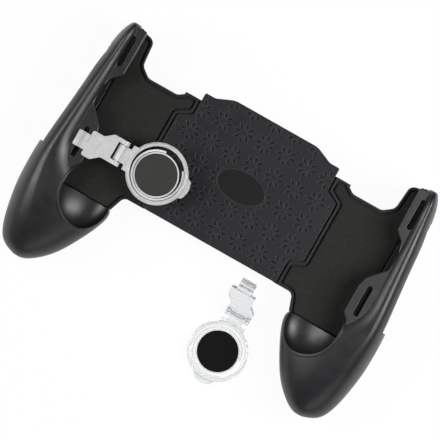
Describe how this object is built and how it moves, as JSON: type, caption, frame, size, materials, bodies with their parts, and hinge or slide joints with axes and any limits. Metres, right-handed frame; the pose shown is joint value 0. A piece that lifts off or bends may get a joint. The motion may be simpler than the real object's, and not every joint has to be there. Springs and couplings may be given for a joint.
{
  "type": "mobile game controller",
  "caption": "Telescopic two-grip phone holder with geared sliding trays, foam pads and clear clip-on thumb sticks.",
  "frame": {"origin": "centre of the back cover's flat outer face, with both grips pushed in", "axes": "+X across the phone to the right grip, +Y up the phone's short side away from the palm grips, +Z out of the screen"},
  "size_m": [0.1712, 0.1211, 0.0327],
  "materials": {
    "grip_plastic": "satin moulded ABS",
    "cover_plastic": "satin moulded ABS with a shallow flower relief",
    "tray_plastic": "matt moulded ABS",
    "foam": "fine closed-cell foam",
    "gear_plastic": "natural acetal",
    "steel": "zinc-plated steel",
    "clear_plastic": "clear moulded polycarbonate",
    "pad_rubber": "matt black silicone",
    "contact_rubber": "conductive silicone"
  },
  "bodies": {
    "centre": {"front_cover": "cover_plastic", "back_cover": "cover_plastic", "pinion_pin": "steel", "cover_screws": "steel"},
    "pinion": {"pinion": "gear_plastic"},
    "right_half": {"right_tray": "tray_plastic", "right_foam_pad": "foam", "right_front_shell": "grip_plastic", "right_back_shell": "grip_plastic", "right_grip_screws": "steel", "right_return_spring": "steel"},
    "left_half": {"left_tray": "tray_plastic", "left_foam_pad": "foam", "left_front_shell": "grip_plastic", "left_back_shell": "grip_plastic", "left_grip_screws": "steel", "left_return_spring": "steel"},
    "mounted_clip": {"mounted_clip_link": "clear_plastic", "mounted_hinge_pin": "clear_plastic"},
    "mounted_ring": {"mounted_ring_frame": "clear_plastic"},
    "mounted_spiral": {"mounted_spiral_spring": "clear_plastic"},
    "mounted_pad": {"mounted_pad_holder": "clear_plastic", "mounted_thumb_pad": "pad_rubber", "mounted_contact_pad": "contact_rubber"},
    "loose_clip": {"loose_clip_link": "clear_plastic", "loose_hinge_pin": "clear_plastic"},
    "loose_ring": {"loose_ring_frame": "clear_plastic"},
    "loose_spiral": {"loose_spiral_spring": "clear_plastic"},
    "loose_pad": {"loose_pad_holder": "clear_plastic", "loose_thumb_pad": "pad_rubber", "loose_contact_pad": "contact_rubber"}
  },
  "joints": [
    {"name": "left_slide", "type": "slide", "parent": "centre", "child": "left_half", "axis": [-1, 0, 0], "range_m": [0, 0.0125], "stiffness_N_per_m": 150, "springref_m": -0.01, "deforming": ["left_return_spring"]},
    {"name": "right_slide", "type": "slide", "parent": "centre", "child": "right_half", "axis": [1, 0, 0], "range_m": [0, 0.0125], "deforming": ["right_return_spring"]},
    {"name": "pinion_spin", "type": "hinge", "parent": "centre", "child": "pinion", "pos_m": [0, 0, 0.0068], "axis": [0, 0, 1], "range_deg": [0, 120]},
    {"name": "mounted_clip_slide", "type": "slide", "parent": "left_half", "child": "mounted_clip", "axis": [0, 1, 0], "range_m": [-0.0038, 0.0014]},
    {"name": "mounted_ring_hinge", "type": "hinge", "parent": "mounted_clip", "child": "mounted_ring", "pos_m": [-0.0521, -0.0127, 0.0233], "axis": [0, -1, 0], "range_deg": [0, 110]},
    {"name": "mounted_pad_across", "type": "slide", "parent": "mounted_ring", "child": "mounted_spiral", "axis": [1, 0, 0], "range_m": [-0.0012, 0.0012], "stiffness_N_per_m": 60, "deforming": ["mounted_spiral_spring"]},
    {"name": "mounted_pad_along", "type": "slide", "parent": "mounted_spiral", "child": "mounted_pad", "axis": [0, 1, 0], "range_m": [-0.0007, 0.0018], "stiffness_N_per_m": 60, "deforming": ["mounted_spiral_spring"]},
    {"name": "loose_stick_slide", "type": "slide", "parent": "centre", "child": "loose_ring", "axis": [0, -1, 0], "range_m": [0, 0.03]},
    {"name": "loose_clip_hinge", "type": "hinge", "parent": "loose_ring", "child": "loose_clip", "pos_m": [0.0264, -0.0488, -0.00355], "axis": [1, 0, 0], "range_deg": [-39, 71]},
    {"name": "loose_pad_across", "type": "slide", "parent": "loose_ring", "child": "loose_spiral", "axis": [1, 0, 0], "range_m": [-0.0012, 0.0012], "stiffness_N_per_m": 60, "deforming": ["loose_spiral_spring"]},
    {"name": "loose_pad_along", "type": "slide", "parent": "loose_spiral", "child": "loose_pad", "axis": [0, 1, 0], "range_m": [-0.0012, 0.0012], "stiffness_N_per_m": 60, "deforming": ["loose_spiral_spring"]}
  ],
  "couplings": [
    {"joint": "right_slide", "follows": "left_slide", "ratio": 1},
    {"joint": "pinion_spin", "follows": "left_slide", "rad_per_m": 166.67}
  ]
}
